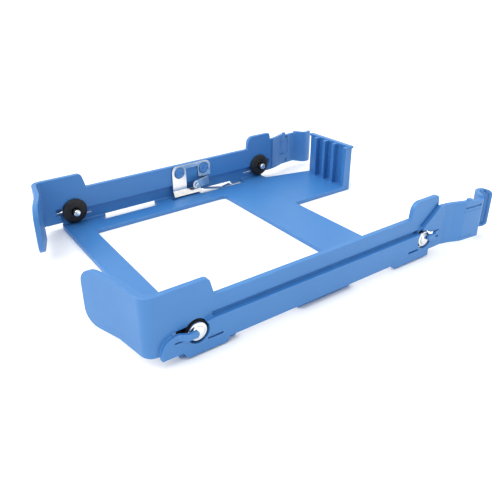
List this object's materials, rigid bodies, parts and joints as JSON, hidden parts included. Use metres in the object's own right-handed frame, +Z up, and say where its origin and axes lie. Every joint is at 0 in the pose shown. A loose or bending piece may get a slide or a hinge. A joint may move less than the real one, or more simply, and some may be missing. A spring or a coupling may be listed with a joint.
{
  "type": "hard drive tray",
  "caption": "Snap-in tray that grips a 3.5-inch hard drive between two flexing side rails with rubber-mounted pins, spring latches and an earthing clip.",
  "frame": {"origin": "on the surface the tray rests on, under the middle of its bounding box", "axes": "+X towards the latches and the finger grip, +Y towards the rail that carries the earthing clip, +Z up"},
  "size_m": [0.1642, 0.1186, 0.0245],
  "materials": {
    "blue_moulding": "satin moulded plastic",
    "black_rubber": "soft matt rubber",
    "bright_steel": "bright plated sheet and pin steel"
  },
  "bodies": {
    "tray": {"tray_floor": "blue_moulding"},
    "near_rail": {"near_rail": "blue_moulding", "near_grommet_rear": "black_rubber", "near_pin_rear": "bright_steel", "near_grommet_front": "black_rubber", "near_pin_front": "bright_steel"},
    "near_latch": {"near_latch": "blue_moulding"},
    "near_tongue_rear": {"near_tongue_rear": "blue_moulding"},
    "near_tongue_front": {"near_tongue_front": "blue_moulding"},
    "far_rail": {"far_rail": "blue_moulding", "far_grommet_rear": "black_rubber", "far_pin_rear": "bright_steel", "far_grommet_front": "black_rubber", "far_pin_front": "bright_steel", "clip_plate": "bright_steel"},
    "far_latch": {"far_latch": "blue_moulding"},
    "far_tongue_rear": {"far_tongue_rear": "blue_moulding"},
    "far_tongue_front": {"far_tongue_front": "blue_moulding"},
    "clip_finger": {"clip_finger": "bright_steel"},
    "clip_leaf": {"clip_leaf": "bright_steel"}
  },
  "joints": [
    {"name": "near_rail_flex", "type": "hinge", "parent": "tray", "child": "near_rail", "pos_m": [-0.00755, -0.0546, 0.001], "axis": [1, 0, 0], "range_deg": [0, 12], "stiffness_Nm_per_rad": 0.9},
    {"name": "near_latch_flex", "type": "hinge", "parent": "near_rail", "child": "near_latch", "pos_m": [0.05375, -0.0546, 0.0031], "axis": [0, 0, 1], "range_deg": [0, 10], "stiffness_Nm_per_rad": 0.6},
    {"name": "near_tongue_rear_flex", "type": "hinge", "parent": "near_rail", "child": "near_tongue_rear", "pos_m": [-0.06605, -0.0549, 0.0078], "axis": [0, 0, -1], "range_deg": [0, 15], "stiffness_Nm_per_rad": 0.04},
    {"name": "near_tongue_front_flex", "type": "hinge", "parent": "near_rail", "child": "near_tongue_front", "pos_m": [0.05095, -0.0549, 0.0078], "axis": [0, 0, 1], "range_deg": [0, 15], "stiffness_Nm_per_rad": 0.04},
    {"name": "far_rail_flex", "type": "hinge", "parent": "tray", "child": "far_rail", "pos_m": [-0.00755, 0.0546, 0.001], "axis": [-1, 0, 0], "range_deg": [0, 12], "stiffness_Nm_per_rad": 0.9},
    {"name": "far_latch_flex", "type": "hinge", "parent": "far_rail", "child": "far_latch", "pos_m": [0.05375, 0.0546, 0.0031], "axis": [0, 0, -1], "range_deg": [0, 10], "stiffness_Nm_per_rad": 0.6},
    {"name": "far_tongue_rear_flex", "type": "hinge", "parent": "far_rail", "child": "far_tongue_rear", "pos_m": [-0.06605, 0.0549, 0.0078], "axis": [0, 0, 1], "range_deg": [0, 15], "stiffness_Nm_per_rad": 0.04},
    {"name": "far_tongue_front_flex", "type": "hinge", "parent": "far_rail", "child": "far_tongue_front", "pos_m": [0.05095, 0.0549, 0.0078], "axis": [0, 0, -1], "range_deg": [0, 15], "stiffness_Nm_per_rad": 0.04},
    {"name": "clip_finger_flex", "type": "hinge", "parent": "far_rail", "child": "clip_finger", "pos_m": [0.01105, 0.05147, 0.0056], "axis": [0, 0, -1], "range_deg": [0, 11], "stiffness_Nm_per_rad": 0.05},
    {"name": "clip_leaf_flex", "type": "hinge", "parent": "far_rail", "child": "clip_leaf", "pos_m": [0.00765, 0.0497, 0.0034], "axis": [0, -1, 0], "range_deg": [0, 8], "stiffness_Nm_per_rad": 0.05}
  ]
}
